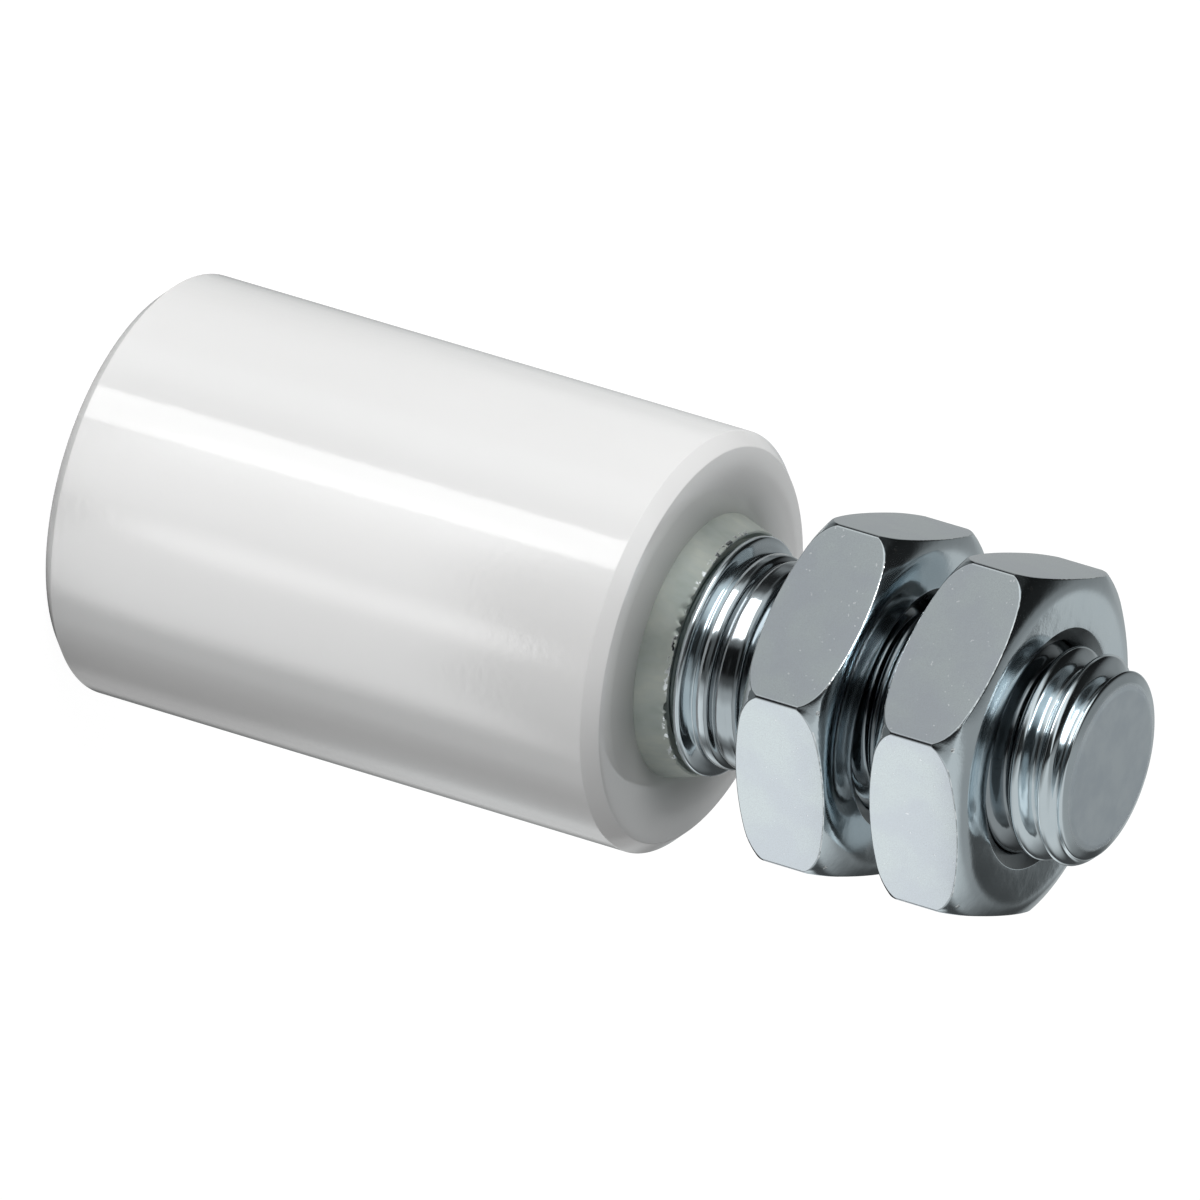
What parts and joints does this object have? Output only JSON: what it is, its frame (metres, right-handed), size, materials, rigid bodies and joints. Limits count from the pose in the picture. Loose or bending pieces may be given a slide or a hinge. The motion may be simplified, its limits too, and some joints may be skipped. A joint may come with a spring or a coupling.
{
  "type": "nylon guide roller on a threaded stud",
  "caption": "White nylon cylinder that turns on a zinc-plated steel stud with a threaded end and thin hexagon nuts, for guiding sliding gates, doors and shutters.",
  "frame": {"origin": "centre of the roller's flat end, the one away from the thread", "axes": "+Z along the stud towards its threaded tip; X and Y across it"},
  "size_m": [0.024, 0.024, 0.0607],
  "materials": {
    "nylon": "smooth white nylon, glossy",
    "dull_zinc": "dull grey-green zinc plating",
    "bright_zinc": "bright zinc plating with a bluish cast",
    "nut_zinc": "bright zinc plating, lightly scuffed on the flats",
    "spring_steel": "dark phosphated spring steel"
  },
  "bodies": {
    "stud": {"axle_stud": "bright_zinc", "thrust_washer": "dull_zinc", "retaining_ring": "spring_steel"},
    "roller": {"nylon_roller": "nylon", "sleeve_bush": "dull_zinc"},
    "inner_nut": {"inner_nut": "nut_zinc"},
    "outer_nut": {"outer_nut": "nut_zinc"}
  },
  "joints": [
    {"name": "roller_spin", "type": "hinge", "parent": "stud", "child": "roller", "pos_m": [0, 0, 0.0175], "axis": [0, 0, 1], "continuous": true},
    {"name": "inner_nut_travel", "type": "slide", "parent": "stud", "child": "inner_nut", "axis": [0, 0, 1], "range_m": [-0.0026, 0.0011]},
    {"name": "outer_nut_travel", "type": "slide", "parent": "stud", "child": "outer_nut", "axis": [0, 0, 1], "range_m": [-0.0011, 0.0028]}
  ]
}
